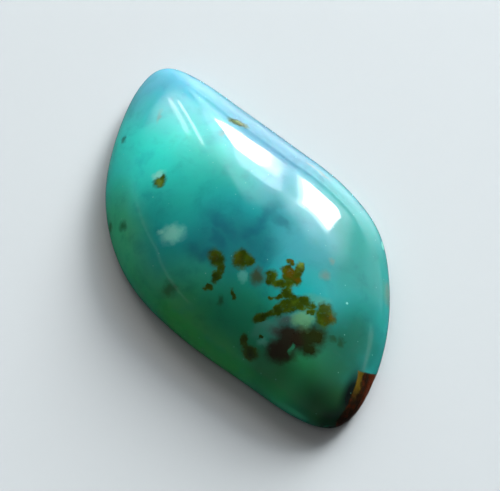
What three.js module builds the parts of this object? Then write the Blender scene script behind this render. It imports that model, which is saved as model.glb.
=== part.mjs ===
// Gem silica: one polished freeform stone of blue-green chalcedony, in a single solid piece.
// Millimetres, +Z up. The long axis runs along Y and the origin is the middle of the flat
// base that the stone lies on.

import * as THREE from 'three';

// Driving dimensions

const LENGTH = 25.8; // tip to tip along Y
const HEIGHT = 4.8; // flat base to the top of the dome
const EDGE_FOOT = 0.35; // top of the small bevel that runs round the base
const EDGE_TOP = 0.8; // where the upright edge turns into the crown
const RING_POINTS = 112; // points round the outline
const CROWN_RINGS = 20; // rings from the upright edge to the top of the dome
const EASING_PASSES = 2; // how often the outline is eased before it is used

// The outline seen from above, as a share of the length: a lozenge with two long gently
// bowed sides, two full shoulders and two rounded tips. It starts at the +Y tip and runs
// anticlockwise.
const OUTLINE = [
  [-0.0154, 0.5],
  [-0.0846, 0.469],
  [-0.185, 0.356],
  [-0.258, 0.225],
  [-0.2865, 0.0846],
  [-0.275, -0.0346],
  [-0.2154, -0.181],
  [-0.1346, -0.317],
  [-0.0462, -0.456],
  [0.016, -0.5],
  [0.0865, -0.471],
  [0.1955, -0.35],
  [0.2654, -0.204],
  [0.2885, -0.0923],
  [0.2577, 0.0462],
  [0.194, 0.173],
  [0.119, 0.3115],
  [0.046, 0.44],
];

// Rings of the foot and the upright edge: [share of the outline, height].
const EDGE_RINGS = [
  [0.955, 0],
  [0.985, 0.12],
  [1, EDGE_FOOT],
];

// Guide points of the crown's section: [share of the outline, share of the crown's rise].
// A steep bevel leaves the edge, turns over a soft ridge and runs on into the low dome.
const CROWN_GUIDES = [
  [1, 0],
  [0.99, 0.125],
  [0.95, 0.275],
  [0.87, 0.45],
  [0.77, 0.63],
  [0.56, 0.84],
  [0.3, 0.967],
  [0, 1.017],
];

// Point of a uniform cubic B-spline span between its four guide points.
function splinePoint(guides, span, t) {
  const weights = [
    (1 - t) ** 3,
    3 * t ** 3 - 6 * t ** 2 + 4,
    -3 * t ** 3 + 3 * t ** 2 + 3 * t + 1,
    t ** 3,
  ];
  const point = [0, 0];
  weights.forEach((weight, i) => {
    point[0] += (weight / 6) * guides[span + i][0];
    point[1] += (weight / 6) * guides[span + i][1];
  });
  return point;
}

// The crown's rings, from the upright edge to just short of the top. A guide point is added
// below the first one, opposite the second, so that the curve starts on the first, and one
// is mirrored over the axis, so that the top is level.
function crownRings() {
  const [first, second] = CROWN_GUIDES;
  const below = [2 * first[0] - second[0], 2 * first[1] - second[1]];
  const [lastShare, lastRise] = CROWN_GUIDES.at(-2);
  const guides = [below, ...CROWN_GUIDES, [-lastShare, lastRise]];
  const spans = guides.length - 3;
  const top = splinePoint(guides, spans - 1, 1)[1];
  const rings = [];
  for (let ring = 0; ring < CROWN_RINGS; ring += 1) {
    const along = (ring / CROWN_RINGS) * spans;
    const span = Math.floor(along);
    const [share, rise] = splinePoint(guides, span, along - span);
    rings.push([share, EDGE_TOP + ((HEIGHT - EDGE_TOP) * rise) / top]);
  }
  return rings;
}

// The outline as evenly spaced points, eased, centred on its own box and brought to length.
function outlinePoints() {
  const corners = OUTLINE.map(([x, y]) => new THREE.Vector3(x * LENGTH, y * LENGTH, 0));
  const curve = new THREE.CatmullRomCurve3(corners, true, 'centripetal');
  curve.arcLengthDivisions = 20 * RING_POINTS;
  let points = curve.getSpacedPoints(RING_POINTS).slice(0, RING_POINTS);
  for (let pass = 0; pass < EASING_PASSES; pass += 1) {
    points = points.map((point, i) => {
      const before = points[(i + RING_POINTS - 1) % RING_POINTS];
      const after = points[(i + 1) % RING_POINTS];
      return point.clone().multiplyScalar(2).add(before).add(after).divideScalar(4);
    });
  }
  const box = new THREE.Box3().setFromPoints(points);
  const centre = box.getCenter(new THREE.Vector3());
  const reach = box.getSize(new THREE.Vector3()).y;
  return points.map((point) => point.sub(centre).multiplyScalar(LENGTH / reach));
}

// Closed solid of the stone: the flat base, the rings above one another, and the top.
function stoneGeometry() {
  const outline = outlinePoints();
  const rings = [...EDGE_RINGS, ...crownRings()];
  const positions = [];
  rings.forEach(([share, height]) => {
    outline.forEach((point) => positions.push(point.x * share, point.y * share, height));
  });
  const baseMiddle = positions.length / 3;
  positions.push(0, 0, 0);
  const topMiddle = baseMiddle + 1;
  positions.push(0, 0, HEIGHT);

  const triangles = [];
  const lastRing = (rings.length - 1) * RING_POINTS;
  for (let i = 0; i < RING_POINTS; i += 1) {
    const next = (i + 1) % RING_POINTS;
    triangles.push(baseMiddle, next, i);
    triangles.push(topMiddle, lastRing + i, lastRing + next);
    for (let ring = 0; ring < lastRing; ring += RING_POINTS) {
      const above = ring + RING_POINTS;
      triangles.push(ring + i, ring + next, above + next);
      triangles.push(ring + i, above + next, above + i);
    }
  }
  const geometry = new THREE.BufferGeometry();
  geometry.setAttribute('position', new THREE.Float32BufferAttribute(positions, 3));
  geometry.setIndex(triangles);
  geometry.computeVertexNormals();
  return geometry;
}

const polishedStone = new THREE.MeshStandardMaterial({
  color: 0x2f9c93,
  roughness: 0.06,
  metalness: 0,
});

const stone = new THREE.Mesh(stoneGeometry(), polishedStone);
stone.name = 'gem_silica';

const object = new THREE.Group();
object.add(stone);

export default object;
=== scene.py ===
"""A polished gem silica stone: the fine surface, the colour and the studio round its solid.

Lengths are metres unless a name or a note says millimetres. Seen from above, +Y is the blue
tip and -Y the dark tip with the host rock.
"""

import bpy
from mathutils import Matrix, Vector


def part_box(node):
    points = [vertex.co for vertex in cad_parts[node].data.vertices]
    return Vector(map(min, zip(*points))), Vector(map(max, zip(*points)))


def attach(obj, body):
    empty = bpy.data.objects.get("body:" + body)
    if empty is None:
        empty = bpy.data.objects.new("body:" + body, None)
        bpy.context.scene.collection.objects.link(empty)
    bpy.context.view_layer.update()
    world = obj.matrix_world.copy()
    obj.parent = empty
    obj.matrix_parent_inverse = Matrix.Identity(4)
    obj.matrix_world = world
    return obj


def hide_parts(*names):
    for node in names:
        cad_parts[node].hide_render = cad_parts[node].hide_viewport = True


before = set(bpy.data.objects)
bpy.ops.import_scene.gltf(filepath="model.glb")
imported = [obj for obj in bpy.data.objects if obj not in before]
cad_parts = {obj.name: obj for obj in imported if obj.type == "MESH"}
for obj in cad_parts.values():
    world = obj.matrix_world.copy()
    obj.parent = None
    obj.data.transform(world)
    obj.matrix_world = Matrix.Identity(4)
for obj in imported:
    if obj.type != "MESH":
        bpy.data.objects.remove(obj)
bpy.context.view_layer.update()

import math

import bpy
from mathutils import Vector

bl_info = {
    "name": "Gem Silica Stone",
    "version": (1, 0, 0),
    "blender": (4, 5, 0),
    "location": "3D View > Sidebar > Gem Silica",
    "description": "Builds a polished gem silica stone round its solid, with its studio",
    "category": "Add Mesh",
}

MM = 0.001
SOLID = "gem_silica"
BODY = "root"
BASE_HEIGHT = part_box(SOLID)[0].z

# Points that are closer than this count as one.
TOUCH = 0.001 * MM


# Sizes and colours that a user would change


def length(name, description, millimetres):
    """A length property whose default is given in millimetres."""
    return bpy.props.FloatProperty(
        name=name, description=description, default=millimetres * MM,
        min=0.0, precision=5, subtype="DISTANCE", unit="LENGTH",
    )


def angle(name, description, degrees):
    """An angle property whose default is given in degrees."""
    return bpy.props.FloatProperty(
        name=name, description=description, default=math.radians(degrees), subtype="ANGLE",
    )


def colour(name, description, red, green, blue):
    """A colour property, in the linear values that shaders take."""
    return bpy.props.FloatVectorProperty(
        name=name, description=description, default=(red, green, blue),
        size=3, min=0.0, max=1.0, subtype="COLOR",
    )


def share(name, description, value, highest=1.0):
    """A plain number property from 0 to its highest value."""
    return bpy.props.FloatProperty(
        name=name, description=description, default=value, min=0.0, max=highest,
    )


class GemStoneShape(bpy.types.PropertyGroup):
    """Fineness and relief of the stone's surface."""

    fineness: bpy.props.IntProperty(
        name="Fineness", description="How often the solid's faces are split and smoothed",
        default=2, min=0, max=3,
    )
    rock_depth: length("Rock depth", "Depth of the pits in the host rock", 0.07)
    rock_grain: length("Rock grain", "Size of the lumps in the host rock", 0.45)


class GemStoneFinish(bpy.types.PropertyGroup):
    """Colours and gloss of the stone, some colours partly painted light and shade."""

    edge: colour("Edge", "Grey blue of the far edge", 0.070, 0.210, 0.300)
    body: colour("Body", "Teal of the middle of the stone", 0.015, 0.35, 0.34)
    # Pale blue of the far tip: partly the stone's own blue, partly a painted sky reflection and
    # painted light.
    pale_blue_and_sky_reflection: colour("Sky", "Pale blue of the far tip", 0.10, 0.40, 0.50)
    # Bright upper shoulder: partly the stone's own turquoise, partly painted light on the
    # shoulder.
    turquoise_and_painted_light: colour("Turquoise", "Bright upper shoulder", 0.05, 0.725, 0.610)
    lagoon: colour("Lagoon", "Between the bright shoulder and the middle", 0.02, 0.375, 0.310)
    # Green of the left edge: partly the stone's own green, partly a painted glow of light
    # passing through to the rim.
    green_and_painted_glow: colour("Leaf", "Green of the left edge", 0.075, 0.53, 0.27)
    # Dark green of the lower left edge: partly the stone's own green, partly a painted glow of
    # light passing through.
    dark_green_and_painted_glow: colour("Forest", "Dark green of the lower left edge", 0.06, 0.41, 0.11)
    # Deep teal of the middle: partly the stone's own teal, partly painted shade that darkens the
    # middle.
    deep_teal_and_painted_shade: colour("Deep", "Deep teal of the middle", 0.015, 0.19, 0.20)
    pool: colour("Pool", "Dark green teal below the middle", 0.02, 0.28, 0.13)
    mint: colour("Mint", "Sea green of the right shoulder", 0.020, 0.250, 0.212)
    mist: colour("Mist", "Hazy blue right of the middle", 0.07, 0.32, 0.37)
    reef: colour("Reef", "Teal of the lower right side", 0.02, 0.13, 0.08)
    bottle: colour("Bottle", "Dark green of the near tip", 0.03, 0.13, 0.05)
    ink: colour("Ink", "Nearly black green beside the host rock", 0.0030, 0.008, 0.006)
    vein: colour("Vein", "Blue grey veins", 0.010, 0.12, 0.16)
    haze: colour("Haze", "Greyish green haze in the moss", 0.090, 0.33, 0.24)
    smoke: colour("Smoke", "Greyish mauve haze over the dark mass", 0.080, 0.095, 0.080)
    milk: colour("Milk", "Whitish clouds", 0.25, 0.66, 0.54)
    window: colour("Window", "Pale green gap in the moss", 0.15, 0.35, 0.16)
    # a painted highlight on the moss
    painted_moss_highlight: colour("Straw", "Sunlit moss", 0.190, 0.270, 0.030)
    lichen: colour("Lichen", "Light olive moss", 0.045, 0.080, 0.003)
    moss: colour("Moss", "Olive moss", 0.020, 0.040, 0.001)
    moss_dark: colour("Dark moss", "Heart of the moss", 0.013, 0.016, 0.001)
    ochre: colour("Ochre", "Rusty moss", 0.085, 0.040, 0.001)
    tan: colour("Tan", "Faint tan spots", 0.26, 0.20, 0.11)
    blush: colour("Blush", "Brownish spots that lie deeper", 0.060, 0.054, 0.006)
    umber: colour("Umber", "Dark brown mass", 0.022, 0.014, 0.007)
    amber: colour("Amber", "Amber strip of the host rock", 0.260, 0.160, 0.010)
    rust: colour("Rust", "Rust red of the host rock", 0.300, 0.045, 0.004)
    bark: colour("Bark", "Dark brown of the host rock", 0.042, 0.019, 0.007)
    polish: share("Polish", "Roughness of the polished faces", 0.055)
    clearness: share("Clearness", "How much light passes straight through", 0.18)


class GemStudio(bpy.types.PropertyGroup):
    """Camera, floor and lights."""

    camera_heading: angle("Camera heading", "Turn of the camera round the stone", -21.5)
    camera_height: angle("Camera height", "Camera above the horizon", 62.0)
    camera_distance: length("Camera distance", "From the lens to the stone's base", 123.6)
    focal_length: bpy.props.FloatProperty(
        name="Focal length", description="Focal length in millimetres", default=150.0, min=1.0,
    )
    floor_size: length("Floor size", "Side of the square floor", 2400.0)
    floor_colour: colour("Floor", "Pale floor", 0.46, 0.46, 0.455)
    window_glow: share("Window glow", "Radiance of the window panes", 26.0, 100.0)
    fill_glow: share("Fill glow", "Radiance of the soft light overhead", 0.30, 100.0)
    low_glow: share("Low glow", "Brightness of what the far edge mirrors", 2.0, 100.0)
    sky_glow: share("Horizon glow", "Radiance of the surroundings at the horizon", 0.12, 100.0)
    zenith_glow: share("Zenith glow", "Radiance of the surroundings overhead", 0.03, 100.0)


# Shader sketching


# A spot's soft surroundings are followed this many times as far as the spot itself reaches.
OUTREACH = 4.0


class Sketch:
    """Adds shader nodes to a tree and joins them, with one short call for each kind."""

    def __init__(self, tree):
        self.tree = tree
        tree.nodes.clear()

    def feed(self, socket, source):
        """Joins a socket to a source socket, or gives it a plain value."""
        if isinstance(source, bpy.types.NodeSocket):
            self.tree.links.new(source, socket)
        elif socket.type == "RGBA" and len(source) == 3:
            socket.default_value = (*source, 1.0)
        else:
            socket.default_value = source

    def node(self, kind, settings=None, **inputs):
        """A new node with its settings and its inputs by name; an underscore is a space."""
        made = self.tree.nodes.new("ShaderNode" + kind)
        for name, value in (settings or {}).items():
            setattr(made, name, value)
        for name, source in inputs.items():
            self.feed(made.inputs[name.replace("_", " ")], source)
        return made

    def calc(self, operation, *sources):
        """Result of a Math node."""
        made = self.node("Math", {"operation": operation})
        for socket, source in zip(made.inputs, sources):
            self.feed(socket, source)
        return made.outputs[0]

    def vector(self, operation, *sources, output="Vector"):
        """Result of a Vector Math node."""
        made = self.node("VectorMath", {"operation": operation})
        for socket, source in zip(made.inputs, sources):
            self.feed(socket, source)
        return made.outputs[output]

    def mix(self, amount, first, second, kind="MIX"):
        """First colour where the amount is 0 and the mix of both where it is 1."""
        made = self.node("Mix", {"data_type": "RGBA", "blend_type": kind})
        self.feed(made.inputs["Factor"], amount)
        self.feed(made.inputs[6], first)
        self.feed(made.inputs[7], second)
        return made.outputs[2]

    def between(self, amount, first, second):
        """First number where the amount is 0 and second where it is 1."""
        made = self.node("Mix")
        self.feed(made.inputs["Factor"], amount)
        self.feed(made.inputs[2], first)
        self.feed(made.inputs[3], second)
        return made.outputs[0]

    def along(self, place, way):
        """How far a place, or a direction, reaches along a way."""
        return self.vector("DOT_PRODUCT", place, way, output="Value")

    def axis(self, place, letter):
        """One coordinate of a place."""
        return self.node("SeparateXYZ", Vector=place).outputs[letter]

    def noise(self, place, scale, detail, roughness=0.5):
        """Noise value of about 0.5, with features of 1 / scale millimetres."""
        made = self.node(
            "TexNoise", Vector=place, Scale=scale, Detail=detail, Roughness=roughness,
        )
        return made.outputs["Fac"]

    def stray(self, place, scale, amount):
        """The place, moved about by noise of that scale and amount."""
        made = self.node("TexNoise", Vector=place, Scale=scale, Detail=2.0)
        shift = self.vector("SUBTRACT", made.outputs["Color"], (0.5, 0.5, 0.5))
        return self.vector("MULTIPLY_ADD", shift, (amount, amount, amount), place)

    def fade(self, value, start, end, low=0.0, high=1.0):
        """Smooth step from low at start to high at end."""
        made = self.node("MapRange", {"interpolation_type": "SMOOTHSTEP"})
        for name, source in (
            ("Value", value), ("From Min", start), ("From Max", end),
            ("To Min", low), ("To Max", high),
        ):
            self.feed(made.inputs[name], source)
        return made.outputs[0]

    def closeness(self, place, middle, half_sizes, turn):
        """1 in the middle of a turned ellipsoid, and 0 from OUTREACH times its half sizes on."""
        local = self.node(
            "Mapping", {"vector_type": "TEXTURE"}, Vector=place, Location=middle,
            Rotation=(0.0, 0.0, math.radians(turn)),
            Scale=[OUTREACH * size for size in half_sizes],
        )
        ball = self.node("TexGradient", {"gradient_type": "SPHERICAL"}, Vector=local.outputs[0])
        return ball.outputs["Fac"]

    def reach(self, place, middle, half_sizes, turn):
        """Distance from the middle of a turned ellipsoid, 1 on its surface."""
        near = self.closeness(place, middle, half_sizes, turn)
        return self.calc("MULTIPLY_ADD", near, -OUTREACH, OUTREACH)

    def nearest(self, place, spots, melt=0.35):
        """Smallest reach to any of the spots, which melt into each other where they meet."""
        result = None
        for x, y, z, wide, high, turn in spots:
            size = (wide, high, max(wide, high))
            near = self.closeness(place, (x, y, z), size, turn)
            if result is None:
                result = near
            else:
                result = self.calc("SMOOTH_MAX", result, near, melt / OUTREACH)
        return self.calc("MULTIPLY_ADD", result, -OUTREACH, OUTREACH)

    def patch(self, place, spots, start, end, strength):
        """Amount of a marking: 0 where the reach is past start, full strength within end."""
        return self.fade(self.nearest(place, spots), start, end, 0.0, strength)


# The colour of the stone. Places are millimetres in the stone's own frame

# Camera right is this far round from +X, so a spot that lies level in the photo is turned so.
LEVEL = -21.5

# Broad zones of body colour, some of them partly painted light and shade: colour name, middle,
# half sizes, turn, strength.
ZONES = (
    ("lagoon", (-3.0, 3.6, 3.8), (5.0, 4.5, 5.0), LEVEL, 1.0),
    # upper shoulder: partly painted light
    ("turquoise_and_painted_light", (-2.6, 8.0, 3.2), (6.5, 5.8, 6.0), 0.0, 1.0),
    # far tip: partly painted sky reflection and painted light
    ("pale_blue_and_sky_reflection", (-0.3, 12.4, 2.6), (4.8, 6.4, 6.0), 0.0, 1.0),
    # upper shoulder: partly painted light
    ("turquoise_and_painted_light", (-6.2, 5.0, 2.4), (2.2, 2.8, 3.0), 0.0, 0.8),
    ("edge", (3.3, 4.6, 2.6), (3.6, 9.0, 4.0), 27.0, 0.9),
    ("edge", (2.6, 0.5, 4.4), (2.2, 2.8, 2.5), LEVEL, 0.45),
    ("mint", (5.0, -4.2, 2.8), (3.8, 7.4, 4.0), 10.0, 1.0),
    ("reef", (2.9, -9.5, 3.0), (3.3, 2.9, 3.6), 0.0, 0.9),
    # middle: partly painted shade
    ("deep_teal_and_painted_shade", (-1.6, -1.6, 4.6), (3.6, 3.0, 3.0), LEVEL, 0.8),
    # left edge: partly painted glow of light passing through
    ("green_and_painted_glow", (-7.0, 1.8, 1.6), (2.6, 4.8, 3.0), 0.0, 1.0),
    # middle: partly painted shade
    ("deep_teal_and_painted_shade", (-0.5, -2.2, 4.6), (1.9, 1.4, 2.4), LEVEL, 0.95),
    # left edge: partly painted glow of light passing through
    ("green_and_painted_glow", (-5.0, -2.6, 3.2), (2.4, 2.8, 3.0), 30.0, 0.5),
    # lower left edge: partly painted glow of light passing through
    ("dark_green_and_painted_glow", (-5.0, -5.6, 1.6), (3.0, 7.0, 3.6), 30.0, 1.0),
    ("pool", (-2.4, -5.8, 3.4), (3.0, 4.0, 3.0), 30.0, 0.85),
    ("mist", (2.3, -3.2, 4.4), (2.4, 3.0, 3.0), 20.0, 0.7),
)

# What the darker drifts in the body colour are multiplied by.
CLOUD_SHADOW = (0.74, 0.80, 0.86)

# Zones that keep their place exactly, laid over the others.
SHADES = (
    # dark green, partly painted glow of light passing through
    ("dark_green_and_painted_glow", (-1.0, -10.0, 2.6), (3.0, 2.6, 3.0), 30.0, 0.8),
    ("reef", (1.4, -9.6, 3.1), (1.8, 1.6, 2.4), 0.0, 0.6),
    ("bottle", (-2.0, -8.9, 2.6), (1.5, 1.8, 2.2), 30.0, 0.6),
    ("bottle", (0.2, -12.4, 2.0), (3.0, 2.7, 3.2), 0.0, 1.0),
    ("ink", (1.7, -11.8, 1.8), (0.6, 1.6, 1.4), -44.0, 1.0),
    ("ink", (0.2, -12.9, 1.2), (1.5, 0.9, 1.5), 0.0, 0.8),
    # thin rim line at the lower left edge: painted glow of light passing through
    ("green_and_painted_glow", (-1.5, -11.6, 1.0), (1.9, 0.22, 0.45), -57.0, 0.6),
)

# Moss, in clumps that melt into each other: x, y, z, half width, half height, turn.
MOSS = (
    # comma on the left
    (-2.7, -2.2, 4.3, 0.42, 0.46, LEVEL),
    (-2.7, -2.9, 4.2, 0.19, 0.36, LEVEL + 10.0),
    (-3.1, -3.2, 4.0, 0.25, 0.32, LEVEL - 25.0),
    (-3.7, -3.5, 3.7, 0.22, 0.24, LEVEL),
    # round clump
    (-1.4, -2.9, 4.5, 0.46, 0.52, LEVEL),
    (-1.1, -3.2, 4.5, 0.30, 0.30, LEVEL),
    # open cluster of the middle
    (-0.3, -4.6, 4.5, 0.31, 0.46, LEVEL),
    (0.0, -5.1, 4.5, 0.38, 0.27, LEVEL),
    (0.7, -4.7, 4.5, 0.36, 0.39, LEVEL),
    (0.9, -5.2, 4.4, 0.32, 0.33, LEVEL),
    (1.1, -4.1, 4.5, 0.26, 0.14, LEVEL - 40.0),
    (0.9, -4.4, 4.5, 0.16, 0.20, LEVEL),
    (1.5, -4.6, 4.4, 0.23, 0.34, LEVEL - 10.0),
    (1.2, -4.9, 4.4, 0.22, 0.20, LEVEL + 30.0),
    (0.75, -4.95, 4.4, 0.40, 0.36, LEVEL),
    (0.2, -5.8, 4.4, 0.35, 0.36, LEVEL),
    (0.45, -5.35, 4.4, 0.22, 0.22, LEVEL),
    (0.35, -6.2, 4.3, 0.26, 0.24, LEVEL),
    (1.25, -6.9, 4.1, 0.26, 0.20, LEVEL + 10.0),
    (-0.7, -5.7, 4.3, 0.17, 0.09, LEVEL + 30.0),
    (-0.3, -5.8, 4.3, 0.22, 0.18, LEVEL),
    # long band under it
    (0.8, -6.6, 4.2, 0.48, 0.38, LEVEL),
    (0.0, -6.5, 4.2, 0.56, 0.36, LEVEL + 8.0),
    (-0.6, -6.5, 4.1, 0.44, 0.28, LEVEL + 15.0),
    (-1.1, -6.4, 4.0, 0.28, 0.20, LEVEL + 30.0),
    (-1.6, -6.4, 3.8, 0.44, 0.22, LEVEL + 5.0),
    # full clump on the right
    (1.7, -7.7, 3.7, 0.55, 0.52, LEVEL),
    (1.9, -7.3, 3.7, 0.42, 0.36, LEVEL),
    (1.1, -7.2, 4.0, 0.27, 0.14, LEVEL + 10.0),
    # dark curl at the lower left
    (-2.9, -7.0, 2.8, 0.24, 0.34, LEVEL + 10.0),
    (-2.8, -7.7, 2.6, 0.46, 0.32, LEVEL - 35.0),
    # slivers and single grains
    (-2.6, -4.5, 3.9, 0.12, 0.28, LEVEL + 15.0),
    (-2.0, -7.3, 3.3, 0.12, 0.11, LEVEL),
    (-3.9, 3.8, 3.9, 0.40, 0.32, LEVEL + 20.0),
    (-3.7, 3.9, 3.9, 0.16, 0.34, LEVEL - 20.0),
    (1.9, 6.1, 3.6, 0.58, 0.22, LEVEL - 25.0),
)

# Rusty spots in the moss.
OCHRE = (
    (0.80, -4.75, 4.5, 0.24, 0.28, LEVEL),
    (1.0, -5.25, 4.4, 0.18, 0.16, LEVEL),
    (1.15, -4.0, 4.5, 0.22, 0.12, LEVEL - 40.0),
    (2.1, -7.8, 3.7, 0.12, 0.18, LEVEL),
    (2.0, 6.0, 3.6, 0.18, 0.07, LEVEL - 25.0),
)

# Painted highlights on the moss, where it is sunlit.
PAINTED_MOSS_HIGHLIGHTS = (
    (-3.9, 3.8, 3.9, 0.30, 0.30, LEVEL),
    (1.9, 6.1, 3.6, 0.30, 0.12, LEVEL - 25.0),
    (1.6, -4.4, 4.4, 0.18, 0.24, LEVEL),
)

# Brownish tinge in the moss.
TINGE = (
    (-2.8, -2.1, 4.3, 0.26, 0.28, LEVEL),
    (-1.6, -2.8, 4.5, 0.30, 0.36, LEVEL),
    (0.9, -4.6, 4.5, 0.50, 0.50, LEVEL),
    (1.9, -7.9, 3.7, 0.40, 0.40, LEVEL),
)

# Faint moss that lies deeper.
VEILED = (
    (-3.3, -4.5, 3.6, 0.17, 0.24, LEVEL),
    (1.7, -8.9, 3.3, 0.22, 0.18, LEVEL),
    (2.1, -9.2, 3.1, 0.18, 0.28, LEVEL),
    (1.0, -8.3, 3.7, 0.56, 0.46, LEVEL),
    (-1.1, -9.0, 3.2, 0.54, 0.20, LEVEL),
    (-5.6, -2.3, 2.6, 0.42, 0.30, LEVEL),
    (-6.6, 2.7, 2.3, 0.28, 0.26, LEVEL),
    (-7.2, 3.5, 1.2, 0.20, 0.26, LEVEL),
    (-4.6, 8.3, 2.2, 0.14, 0.22, LEVEL),
)

# A brownish spot that lies deeper.
BLUSH = (
    (-1.0, -4.2, 4.4, 0.34, 0.42, LEVEL),
)

# Faint tan spots.
TANS = (
    (3.4, -4.7, 4.0, 0.13, 0.20, LEVEL),
    (2.7, -5.4, 4.0, 0.26, 0.26, LEVEL),
    (-2.3, 8.3, 3.4, 0.12, 0.40, LEVEL - 10.0),
    (6.2, -6.6, 1.4, 0.34, 0.60, LEVEL),
    (0.6, 5.4, 4.3, 0.16, 0.20, LEVEL),
    (5.4, 1.4, 2.9, 0.12, 0.50, 30.0),
    (5.0, 2.1, 2.9, 0.12, 0.30, 30.0),
)

# The dark mass under the moss.
MASS = (
    (-0.6, -8.0, 3.7, 0.54, 0.50, LEVEL),
    (-1.0, -8.2, 3.5, 0.44, 0.40, LEVEL),
    (-1.3, -8.5, 3.3, 0.72, 0.52, LEVEL),
    (-0.4, -8.4, 3.7, 0.42, 0.50, LEVEL),
)

# Its dark olive right side.
MASS_RIM = (
    (0.1, -8.5, 3.7, 0.66, 0.55, LEVEL),
    (0.7, -8.6, 3.6, 0.56, 0.52, LEVEL),
    (0.2, -9.1, 3.5, 0.46, 0.34, LEVEL),
)

# A pale gap in the dark mass.
NOTCH = (
    (-0.7, -8.7, 3.5, 0.13, 0.27, LEVEL - 20.0),
)

# Pale greenish clouds.
CLOUDS = (
    (-4.4, 0.3, 3.9, 0.58, 0.44, LEVEL),
    (-4.9, 0.8, 3.6, 0.22, 0.20, LEVEL),
    (-3.8, 4.3, 3.9, 0.34, 0.22, LEVEL + 10.0),
)

# Smaller and fainter clouds.
WISPS = (
    (-1.7, -3.8, 4.3, 0.22, 0.34, LEVEL),
    (-2.0, -7.6, 3.2, 0.28, 0.25, LEVEL),
)

# A pale green window in the moss.
WINDOW = (
    (0.5, -7.5, 4.0, 0.57, 0.49, LEVEL),
    (0.3, -8.0, 3.9, 0.40, 0.30, LEVEL),
)

# Greyish green haze round the mass and right of the middle.
HAZES = (
    (-1.6, -7.1, 3.7, 0.80, 0.45, LEVEL),
    (1.7, -6.7, 4.0, 0.55, 0.35, LEVEL),
)

# Greyish mauve haze over the mass.
SMOKE = (
    (-1.5, -8.2, 3.5, 0.40, 0.34, LEVEL),
    (-0.4, -7.2, 4.0, 0.55, 0.32, LEVEL),
    (-1.0, -7.5, 3.8, 0.45, 0.30, LEVEL),
)

# Pale flecks, partly painted glints on the right edge and the girdle.
FLECKS_AND_GLINTS = (
    (3.3, -7.2, 3.4, 0.07, 0.07, LEVEL),
    (7.2, -3.6, 1.4, 0.10, 0.30, LEVEL),
    (4.1, -10.0, 0.6, 0.12, 0.20, LEVEL),
)

# Darker veins in the middle.
VEINS = (
    (-1.7, -0.4, 4.7, 1.10, 0.34, LEVEL - 46.0),
    (-2.2, -1.3, 4.6, 0.70, 0.30, LEVEL - 70.0),
    (-0.2, -1.5, 4.7, 0.80, 0.30, LEVEL + 16.0),
    (0.8, -1.0, 4.7, 1.00, 0.30, LEVEL + 48.0),
    (1.6, -1.6, 4.7, 0.80, 0.26, LEVEL - 42.0),
    (-3.4, -1.6, 4.4, 0.80, 0.34, LEVEL - 30.0),
)

# The host rock lies past an upright wall that bulges outward, up to a slanting end. The
# colour has a sharp rim there, and the pits grow deeper over a longer way.
ROCK_OUTWARD = Vector((0.692, -0.723, 0.0))
ROCK_START = 9.79
ROCK_SIDE = Vector((0.723, 0.692, 0.0))
ROCK_MIDDLE = -7.1
ROCK_BULGE = 0.10
ROCK_ALONG = Vector((0.777, 0.631, 0.65))
ROCK_END = -3.4
ROCK_WALL_RIM = 0.04
ROCK_END_RIM = 0.06
PITS_WALL_RIM = 0.25
PITS_END_RIM = 0.4

# Height of the rim that the amber strip hangs from, where the way aside is 0, and how much
# that rim climbs for each millimetre along that way.
ROCK_TOP = 3.85
ROCK_CLIMB = 0.28


def rock_share(place):
    """How far a place on the mesh lies in the host rock: 0 at its rim and 1 a little inside."""
    aside = ROCK_SIDE.dot(place) - ROCK_MIDDLE
    past_wall = ROCK_OUTWARD.dot(place) - ROCK_START + ROCK_BULGE * aside * aside
    before_end = ROCK_END - ROCK_ALONG.dot(place)
    return max(0.0, min(1.0, past_wall / PITS_WALL_RIM, before_end / PITS_END_RIM))


def rock_mask(net, place):
    """1 on the host rock, whose rim is a little ragged."""
    ragged = net.stray(place, 2.4, 0.16)
    outward = net.along(ragged, ROCK_OUTWARD)
    aside = net.calc("SUBTRACT", net.along(ragged, ROCK_SIDE), ROCK_MIDDLE)
    bulge = net.calc("MULTIPLY", net.calc("MULTIPLY", aside, aside), ROCK_BULGE)
    wall = net.calc("ADD", outward, bulge)
    past_wall = net.fade(wall, ROCK_START - ROCK_WALL_RIM, ROCK_START + ROCK_WALL_RIM)
    end = net.along(ragged, ROCK_ALONG)
    before_end = net.fade(end, ROCK_END + ROCK_END_RIM, ROCK_END - ROCK_END_RIM)
    return net.calc("MULTIPLY", past_wall, before_end)


def rock_colour(net, finish, place):
    """An amber strip under the rim, rust along the outer edge, and dark brown between."""
    loose = net.stray(place, 3.0, 0.35)
    aside = net.along(loose, ROCK_SIDE)
    rim = net.calc("MULTIPLY_ADD", aside, ROCK_CLIMB, ROCK_TOP)
    drop = net.calc("SUBTRACT", rim, net.axis(loose, "Z"))
    far_end = net.fade(aside, -7.3, -6.2)
    speck = net.fade(net.noise(place, 4.0, 4.0), 0.45, 0.70, 0.0, 0.45)
    result = net.mix(speck, finish.bark, finish.rust)
    rusty = net.fade(aside, -8.0, -6.0, 0.15, 0.9)
    low = net.calc("MULTIPLY", net.fade(drop, 0.75, 1.15), rusty)
    result = net.mix(low, result, finish.rust)
    high = net.fade(drop, 0.50, 0.32)
    return net.mix(net.calc("MULTIPLY", high, far_end), result, finish.amber)


def add_zones(net, finish, place, zones, rim, heart, result):
    """Broad zones over a colour, each from nothing at its rim to full strength at its heart."""
    for name, middle, half_sizes, turn, strength in zones:
        value = net.reach(place, middle, half_sizes, turn)
        amount = net.fade(value, rim, heart, 0.0, strength)
        result = net.mix(amount, result, getattr(finish, name))
    return result


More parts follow.
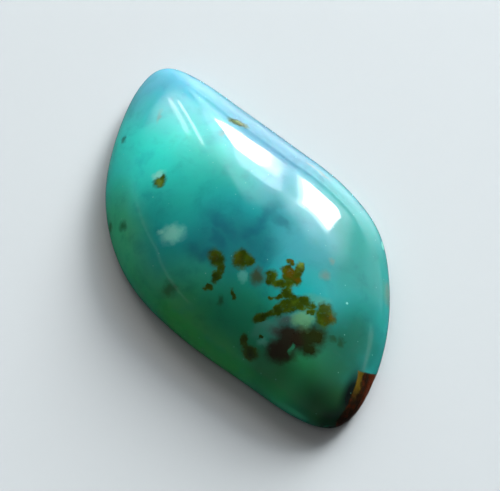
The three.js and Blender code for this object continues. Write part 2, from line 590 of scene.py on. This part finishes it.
def body_colour(net, finish, place):
    """The stone's colour, partly painted light and shade: soft zones, cloudy variation and the
    dark near tip.
    """
    drift = net.stray(place, 0.30, 2.2)
    result = add_zones(net, finish, drift, ZONES, 1.15, 0.25, finish.body)
    cloud = net.noise(drift, 0.55, 5.0, 0.6)
    result = net.mix(net.fade(cloud, 0.52, 0.78, 0.0, 0.40), result, finish.mint)
    result = net.mix(net.fade(cloud, 0.50, 0.28), result, CLOUD_SHADOW, "MULTIPLY")
    return add_zones(net, finish, place, SHADES, 1.2, 0.3, result)


def add_clouds(net, finish, place, near, result):
    """Veins, haze, pale clouds, what lies deeper, and pale flecks and grains that are partly
    painted glints, over the body colour.
    """
    loose = net.stray(place, 1.1, 1.3)
    for spots, within, rim, heart, strength, paint in (
        (VEINS, loose, 1.9, 0.0, 0.65, finish.vein),
        (HAZES, loose, 1.9, 0.1, 0.8, finish.haze),
        (SMOKE, near, 1.9, 0.2, 0.85, finish.smoke),
        (CLOUDS, near, 1.8, 0.3, 0.95, finish.milk),
        (WISPS, near, 1.6, 0.4, 0.34, finish.milk),
        (WINDOW, near, 1.5, 0.6, 0.85, finish.window),
        (VEILED, near, 1.9, 0.4, 0.6, finish.moss),
        (BLUSH, near, 1.8, 0.4, 0.85, finish.blush),
        (TANS, near, 1.8, 0.2, 0.38, finish.tan),
        # pale flecks, partly painted glints
        (FLECKS_AND_GLINTS, place, 1.4, 0.8, 0.8, finish.milk),
    ):
        amount = net.patch(within, spots, rim, heart, strength)
        result = net.mix(amount, result, paint)

    # tiny pale grains all over, partly painted glints
    pale_grains_and_glints = net.node("TexVoronoi", Vector=place, Scale=1.7).outputs["Distance"]
    return net.mix(net.fade(pale_grains_and_glints, 0.085, 0.04, 0.0, 0.4), result, finish.milk)


def add_mass(net, finish, near, result):
    """The dark mass over a colour, and how much it covers."""
    notch = net.calc("SUBTRACT", 1.0, net.patch(near, NOTCH, 1.5, 0.7, 0.8))
    covers = []
    for spots, paint in ((MASS_RIM, finish.moss_dark), (MASS, finish.umber)):
        amount = net.calc("MULTIPLY", net.patch(near, spots, 1.9, 0.6, 0.98), notch)
        result = net.mix(amount, result, paint)
        covers.append(amount)
    return result, net.calc("MAXIMUM", *covers)


def add_moss(net, finish, place, near, result):
    """Clumps of olive moss with rusty spots and painted highlights over a colour, and how much
    they cover.
    """
    field = net.nearest(near, MOSS, 0.5)
    tone = net.noise(place, 1.9, 3.0)
    paint = net.mix(net.fade(tone, 0.32, 0.74), finish.moss, finish.lichen)
    paint = net.mix(net.fade(field, 1.1, 0.1, 0.0, 0.5), paint, finish.moss_dark)
    # the sunlit spots are painted highlights
    for spots, strength, tint in (
        (PAINTED_MOSS_HIGHLIGHTS, 0.5, finish.painted_moss_highlight), (TINGE, 0.2, finish.ochre), (OCHRE, 0.65, finish.ochre),
    ):
        paint = net.mix(net.patch(near, spots, 1.6, 0.3, strength), paint, tint)
    depth = net.fade(net.noise(place, 4.0, 3.0), 0.25, 0.45, 0.90, 1.0)
    cover = net.calc("MULTIPLY", net.fade(field, 1.56, 0.80), depth)
    return net.mix(cover, result, paint), cover


# How chalcedony bends light, how far red, green and blue scatter in it (millimetres), and
# what light turns to on its way through.
GEM_IOR = 1.54
SCATTER_REACH = (0.5, 1.5, 1.2)
DEPTH_COLOUR = (0.05, 0.72, 0.66)
DEPTH_DENSITY = 300.0

# Roughness of the ground base and of the host rock, and the host rock's lustre and fine grain.
BASE_ROUGHNESS = 0.35
ROCK_ROUGHNESS = 0.3
ROCK_LUSTRE = 0.7
ROCK_BUMP = 0.06 * MM


def stone_material(finish):
    """Translucent polished chalcedony with moss, clouds and a corner of host rock."""
    material = bpy.data.materials.new("polished_gem_silica")
    material.use_nodes = True
    net = Sketch(material.node_tree)
    coordinates = net.node("TexCoord")
    to_millimetres = (1 / MM, 1 / MM, 1 / MM)
    place = net.vector("MULTIPLY", coordinates.outputs["Object"], to_millimetres)
    near = net.stray(net.stray(place, 2.0, 0.50), 6.0, 0.18)

    result = body_colour(net, finish, place)
    result = add_clouds(net, finish, place, near, result)
    result, mass = add_mass(net, finish, near, result)
    result, moss = add_moss(net, finish, place, near, result)
    rock = rock_mask(net, place)
    result = net.mix(rock, result, rock_colour(net, finish, place))

    # the flat base is only ground, and the host rock takes less polish than the gem
    base = net.fade(net.axis(place, "Z"), 0.10, 0.04)
    haze = net.fade(net.noise(place, 0.8, 4.0), 0.35, 0.70, 0.8, 1.3)
    rough = net.calc("MULTIPLY", haze, finish.polish)
    rough = net.between(base, rough, BASE_ROUGHNESS)
    rough = net.between(rock, rough, ROCK_ROUGHNESS)
    grain = net.node(
        "Bump", Strength=net.calc("MULTIPLY", rock, 0.6), Distance=ROCK_BUMP,
        Height=net.noise(place, 9.0, 4.0, 0.6),
    )

    # moss, mass and host rock let no light in
    gem = net.calc("SUBTRACT", 1.0, rock)
    bare = net.calc("SUBTRACT", 1.0, net.calc("MAXIMUM", moss, mass))
    clear = net.calc("MULTIPLY", gem, bare)
    shader = net.node(
        "BsdfPrincipled", {"subsurface_method": "RANDOM_WALK"}, Base_Color=result,
        Roughness=rough, IOR=GEM_IOR, Metallic=net.calc("MULTIPLY", rock, ROCK_LUSTRE),
        Subsurface_Weight=clear, Subsurface_Radius=SCATTER_REACH, Subsurface_Scale=MM,
        Transmission_Weight=net.calc("MULTIPLY", clear, finish.clearness),
        Normal=grain.outputs["Normal"],
    )
    depth = net.node("VolumeAbsorption", Color=DEPTH_COLOUR, Density=DEPTH_DENSITY)
    output = net.node("OutputMaterial")
    net.feed(output.inputs["Surface"], shader.outputs[0])
    net.feed(output.inputs["Volume"], depth.outputs[0])
    return material


# Modelling


def only(piece):
    """Makes a piece the one selected and active object."""
    bpy.ops.object.select_all(action="DESELECT")
    piece.select_set(True)
    bpy.context.view_layer.objects.active = piece


def copy_of_solid(name):
    """A merged copy of the stone's solid, with none of its edges selected."""
    piece = bpy.data.objects.new(name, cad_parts[SOLID].data.copy())
    bpy.context.scene.collection.objects.link(piece)
    piece.data.materials.clear()
    only(piece)
    bpy.ops.object.mode_set(mode="EDIT")
    bpy.ops.mesh.select_all(action="SELECT")
    bpy.ops.mesh.remove_doubles(threshold=TOUCH)
    bpy.ops.mesh.select_mode(type="EDGE")
    bpy.ops.mesh.select_all(action="DESELECT")
    bpy.ops.object.mode_set(mode="OBJECT")
    return piece


def is_slanting(mesh, edge):
    """True for an edge that crosses a four-sided face of the solid from corner to corner."""
    first, second = (mesh.vertices[i].co for i in edge.vertices)
    level = abs(first.z - second.z) < TOUCH
    upright = abs(first.xy.normalized().cross(second.xy.normalized())) < 1e-4
    at_middle = min(first.xy.length, second.xy.length) < TOUCH
    return not (level or upright or at_middle)


def apply_modifier(piece, kind, name, **settings):
    """Adds a modifier with its settings and applies it."""
    only(piece)
    modifier = piece.modifiers.new(name, kind)
    for key, value in settings.items():
        setattr(modifier, key, value)
    bpy.ops.object.modifier_apply(modifier=modifier.name)


class GEM_OT_stone(bpy.types.Operator):
    """Add the polished stone in place of its plain solid"""

    bl_idname = "gem.stone"
    bl_label = "Polished stone"

    def execute(self, context):
        shape = context.scene.gem_shape
        stone = copy_of_solid("polished_stone")
        self.round_off(stone, shape)
        self.roughen_rock(stone, shape)
        only(stone)
        bpy.ops.object.shade_smooth()
        stone.data.materials.append(stone_material(context.scene.gem_finish))
        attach(stone, BODY)
        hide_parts(SOLID)
        return {"FINISHED"}

    def round_off(self, stone, shape):
        """Joins the triangles in four-sided faces and smooths them."""
        mesh = stone.data
        for edge in mesh.edges:
            edge.select = is_slanting(mesh, edge)
        bpy.ops.object.mode_set(mode="EDIT")
        bpy.ops.mesh.dissolve_edges(use_verts=False)
        bpy.ops.object.mode_set(mode="OBJECT")
        levels = shape.fineness
        apply_modifier(stone, "SUBSURF", "polish", levels=levels, render_levels=levels)

    def roughen_rock(self, stone, shape):
        """Splits the faces of the host rock and sinks pits in them."""
        mesh = stone.data
        only(stone)
        bpy.ops.object.mode_set(mode="EDIT")
        bpy.ops.mesh.select_mode(type="FACE")
        bpy.ops.mesh.select_all(action="DESELECT")
        bpy.ops.object.mode_set(mode="OBJECT")
        for face in mesh.polygons:
            face.select = rock_share(face.center / MM) > 0.0
        bpy.ops.object.mode_set(mode="EDIT")
        bpy.ops.mesh.subdivide(number_cuts=1, smoothness=0.0)
        bpy.ops.object.mode_set(mode="OBJECT")

        group = stone.vertex_groups.new(name="host_rock")
        for vertex in mesh.vertices:
            amount = rock_share(vertex.co / MM)
            if amount > 0.0:
                group.add([vertex.index], amount, "REPLACE")
        pits = bpy.data.textures.new("rock_pits", type="CLOUDS")
        pits.noise_scale = shape.rock_grain
        pits.noise_depth = 3
        apply_modifier(
            stone, "DISPLACE", "pits", texture=pits, texture_coords="LOCAL",
            vertex_group=group.name, strength=-shape.rock_depth, mid_level=0.0,
        )


# The studio. Headings run clockwise from the camera's view line and heights from the horizon

# Corners of the bright shapes that the polish mirrors: (heading, height) in degrees.
LEFT_PANE = ((13.8, 20.0), (21.5, 10.2), (20.5, 21.7), (19.1, 28.7), (17.8, 31.8))
LEFT_PANE_TOP = ((16.6, 30.5), (20.2, 23.5), (21.1, 40.6), (14.6, 41.2))
RIGHT_PANE = (
    (26.4, 13.2), (39.5, 14.2), (45.2, 20.0), (49.5, 36.0),
    (48.6, 39.0), (46.0, 40.0), (30.6, 38.5),
)
RIGHT_PANE_EDGE = (
    (24.0, 12.8), (39.5, 14.2), (45.2, 20.0), (49.5, 36.0),
    (49.0, 41.0), (46.0, 43.0), (28.5, 42.0),
)
PANE_GLOW = ((6.0, 6.0), (46.0, 6.0), (59.0, 34.0), (53.0, 45.0), (8.0, 42.0))
PANE_FOOT = ((24.0, 38.0), (45.0, 42.0), (46.0, 51.0), (26.0, 53.0))
WINDOW_HAZE = ((-30.0, 10.0), (70.0, -14.0), (72.0, 52.0), (-30.0, 34.0))
SLIT = ((-22.5, 25.0), (-20.0, 25.0), (-17.5, 46.0), (-20.0, 46.0))
FAINT_SLIT = ((-29.0, 20.0), (-26.0, 20.0), (-24.5, 40.0), (-27.5, 40.0))
SLIT_HAZE = ((-42.0, 13.0), (12.0, 22.0), (14.0, 55.0), (-31.0, 45.0))
LEFT_STRIP = ((-91.0, 29.0), (-58.0, 14.0), (-58.0, 17.0), (-91.0, 32.0))
NEAR_LEFT_STRIP = ((-118.0, 16.0), (-91.0, 29.0), (-91.0, 32.0), (-118.0, 19.0))
RIGHT_STRIP = ((79.0, 3.0), (94.0, 5.0), (94.0, 11.0), (79.0, 9.0))
OVERHEAD = ((-135.0, 35.0), (-45.0, 35.0), (45.0, 35.0), (135.0, 35.0))

WHITE = (1.0, 1.0, 1.0)
PALE_BLUE = (0.74, 0.90, 1.0)

# The lights with those shapes: name, corners, share of the window's glow, feather, tint.
PANES = (
    ("left_pane", LEFT_PANE, 1.0, 0.008, WHITE),
    ("left_pane_top", LEFT_PANE_TOP, 0.22, 0.02, PALE_BLUE),
    ("right_pane", RIGHT_PANE, 1.0, 0.03, WHITE),
    ("right_pane_edge", RIGHT_PANE_EDGE, 0.42, 0.04, PALE_BLUE),
    ("pane_glow", PANE_GLOW, 0.16, 0.24, PALE_BLUE),
    ("pane_foot", PANE_FOOT, 0.16, 0.12, PALE_BLUE),
    ("window_haze", WINDOW_HAZE, 0.035, 0.35, PALE_BLUE),
    ("slit_haze", SLIT_HAZE, 0.10, 0.25, WHITE),
    ("slit", SLIT, 0.30, 0.03, WHITE),
    ("faint_slit", FAINT_SLIT, 0.2, 0.04, WHITE),
    ("left_strip", LEFT_STRIP, 0.013, 0.03, WHITE),
    ("near_left_strip", NEAR_LEFT_STRIP, 0.013, 0.03, WHITE),
    ("right_strip", RIGHT_STRIP, 0.022, 0.06, WHITE),
)

# The glow low on the far side: heading, height, cosine at its rim, cosine at its heart, share.
LOW_GLOWS = ((10.0, -6.0, 0.30, 1.0, 0.25), (28.0, -11.0, 0.84, 0.99, 1.0))
GROUND_GLOW = 0.02
AIR_TINT = (0.80, 0.93, 1.0)

LAMP_DISTANCE = 0.8
FLOOR_GAP = 0.02 * MM


def towards(heading, height):
    """Unit vector to a compass heading, clockwise from +Y, and a height over the horizon."""
    return Vector((
        math.sin(heading) * math.cos(height),
        math.cos(heading) * math.cos(height),
        math.sin(height),
    ))


def add_pane(name, studio, corners, glow, feather, tint):
    """A light that shows as a pane with those corners, its edges faded over the feather."""
    directions = [
        towards(math.radians(heading) - studio.camera_heading, math.radians(height))
        for heading, height in corners
    ]
    middle = sum(directions, Vector()).normalized()
    turn = (-middle).to_track_quat("-Z", "Y")
    across, upright = turn @ Vector((1.0, 0.0, 0.0)), turn @ Vector((0.0, 1.0, 0.0))
    flat = [
        (way.dot(across) / way.dot(middle), way.dot(upright) / way.dot(middle))
        for way in directions
    ]
    wide = 2 * max(abs(x) for x, y in flat) + feather
    high = 2 * max(abs(y) for x, y in flat) + feather

    bpy.ops.object.light_add(type="AREA", location=middle * LAMP_DISTANCE)
    lamp = bpy.context.object
    lamp.name = name
    lamp.rotation_mode = "QUATERNION"
    lamp.rotation_quaternion = turn
    lamp.data.shape = "RECTANGLE"
    lamp.data.size = wide * LAMP_DISTANCE
    lamp.data.size_y = high * LAMP_DISTANCE
    lamp.data.color = tint
    area = lamp.data.size * lamp.data.size_y
    lamp.data.energy = glow * math.pi * area
    lamp.data.use_nodes = True

    net = Sketch(lamp.data.node_tree)
    spot = net.node("NewGeometry").outputs["Parametric"]
    x = net.calc("MULTIPLY_ADD", net.axis(spot, "X"), wide, -wide / 2)
    y = net.calc("MULTIPLY_ADD", net.axis(spot, "Y"), high, -high / 2)
    amount = 1.0
    for (x0, y0), (x1, y1) in zip(flat, flat[1:] + flat[:1]):
        edge = math.hypot(x1 - x0, y1 - y0)
        inward_x, inward_y = (y1 - y0) / edge, (x0 - x1) / edge
        inward = net.calc("MULTIPLY_ADD", x, inward_x, -(x0 * inward_x + y0 * inward_y))
        inward = net.calc("MULTIPLY_ADD", y, inward_y, inward)
        amount = net.calc("MULTIPLY", amount, net.fade(inward, -feather / 2, feather / 2))
    shine = net.node("Emission", Strength=amount)
    net.feed(net.node("OutputLight").inputs["Surface"], shine.outputs[0])
    return lamp


class GEM_OT_studio(bpy.types.Operator):
    """Add the floor, the lights and the camera"""

    bl_idname = "gem.studio"
    bl_label = "Studio"

    def execute(self, context):
        studio = context.scene.gem_studio
        bpy.ops.object.select_all(action="DESELECT")
        self.add_floor(studio)
        self.add_lights(studio)
        self.add_surroundings(context, studio)
        self.add_camera(context, studio)
        context.scene.view_settings.view_transform = "Standard"
        return {"FINISHED"}

    def add_floor(self, studio):
        """A pale floor just under the stone."""
        bpy.ops.mesh.primitive_plane_add(
            size=studio.floor_size, location=(0.0, 0.0, BASE_HEIGHT - FLOOR_GAP),
        )
        floor = bpy.context.object
        floor.name = "floor"
        material = bpy.data.materials.new("pale_floor")
        material.use_nodes = True
        net = Sketch(material.node_tree)
        shader = net.node("BsdfPrincipled", Base_Color=studio.floor_colour, Roughness=0.8)
        net.feed(net.node("OutputMaterial").inputs["Surface"], shader.outputs[0])
        floor.data.materials.append(material)
        floor.visible_glossy = False

    def add_lights(self, studio):
        """The window's panes, slits and strips, and a soft light overhead."""
        for name, corners, part, feather, tint in PANES:
            add_pane(name, studio, corners, studio.window_glow * part, feather, tint)
        fill = add_pane("overhead", studio, OVERHEAD, studio.fill_glow, 0.4, WHITE)
        fill.visible_glossy = False

    def add_surroundings(self, context, studio):
        """Dim light from all round, and a pale glow that only the far edge mirrors."""
        world = bpy.data.worlds.new("surroundings")
        context.scene.world = world
        world.use_nodes = True
        net = Sketch(world.node_tree)
        direction = net.node("TexCoord").outputs["Generated"]
        height = net.axis(direction, "Z")
        above = net.fade(height, 0.0, 0.6, studio.sky_glow, studio.zenith_glow)
        below = GROUND_GLOW
        for heading, lift, rim, heart, part in LOW_GLOWS:
            way = towards(math.radians(heading) - studio.camera_heading, math.radians(lift))
            glow = net.fade(net.along(direction, way), rim, heart, 0.0, part * studio.low_glow)
            below = net.calc("ADD", glow, below)
        glow = net.between(net.fade(height, -0.02, 0.02), below, above)
        back = net.node("Background", Color=AIR_TINT, Strength=glow)
        net.feed(net.node("OutputWorld").inputs["Surface"], back.outputs[0])

    def add_camera(self, context, studio):
        """The photo's view, with its frame of 500 by 491 pixels."""
        frame_width, frame_height = 500.0, 491.0
        # where the middle of the stone's base stands in that frame
        origin_x, origin_y = 246.0, 246.1
        back = towards(math.pi - studio.camera_heading, studio.camera_height)
        bpy.ops.object.camera_add(location=back * studio.camera_distance)
        camera = bpy.context.object
        camera.name = "camera"
        camera.rotation_mode = "QUATERNION"
        camera.rotation_quaternion = (-back).to_track_quat("-Z", "Y")
        camera.data.sensor_width = 36.0
        camera.data.lens = studio.focal_length
        camera.data.shift_x = (frame_width / 2 - origin_x) / frame_width
        camera.data.shift_y = (origin_y - frame_height / 2) / frame_width
        camera.data.clip_start = MM
        camera.data.clip_end = 10.0
        context.scene.camera = camera


class GEM_PT_panel(bpy.types.Panel):
    """Lists the stone's operators and settings"""

    bl_label = "Gem Silica"
    bl_idname = "GEM_PT_panel"
    bl_space_type = "VIEW_3D"
    bl_region_type = "UI"
    bl_category = "Gem Silica"

    def draw(self, context):
        layout = self.layout
        for operator, settings in (
            (GEM_OT_stone, (context.scene.gem_shape, context.scene.gem_finish)),
            (GEM_OT_studio, (context.scene.gem_studio,)),
        ):
            box = layout.box()
            box.operator(operator.bl_idname)
            for group in settings:
                for name in group.__annotations__:
                    box.prop(group, name)


SETTINGS = {
    "gem_shape": GemStoneShape,
    "gem_finish": GemStoneFinish,
    "gem_studio": GemStudio,
}
CLASSES = (*SETTINGS.values(), GEM_OT_stone, GEM_OT_studio, GEM_PT_panel)


def register():
    for item in CLASSES:
        bpy.utils.register_class(item)
    for name, group in SETTINGS.items():
        setattr(bpy.types.Scene, name, bpy.props.PointerProperty(type=group))


def unregister():
    for name in SETTINGS:
        delattr(bpy.types.Scene, name)
    for item in reversed(CLASSES):
        bpy.utils.unregister_class(item)


def main():
    """Builds the stone and its studio."""
    register()
    bpy.ops.gem.stone()
    bpy.ops.gem.studio()


if __name__ == "__main__":
    main()
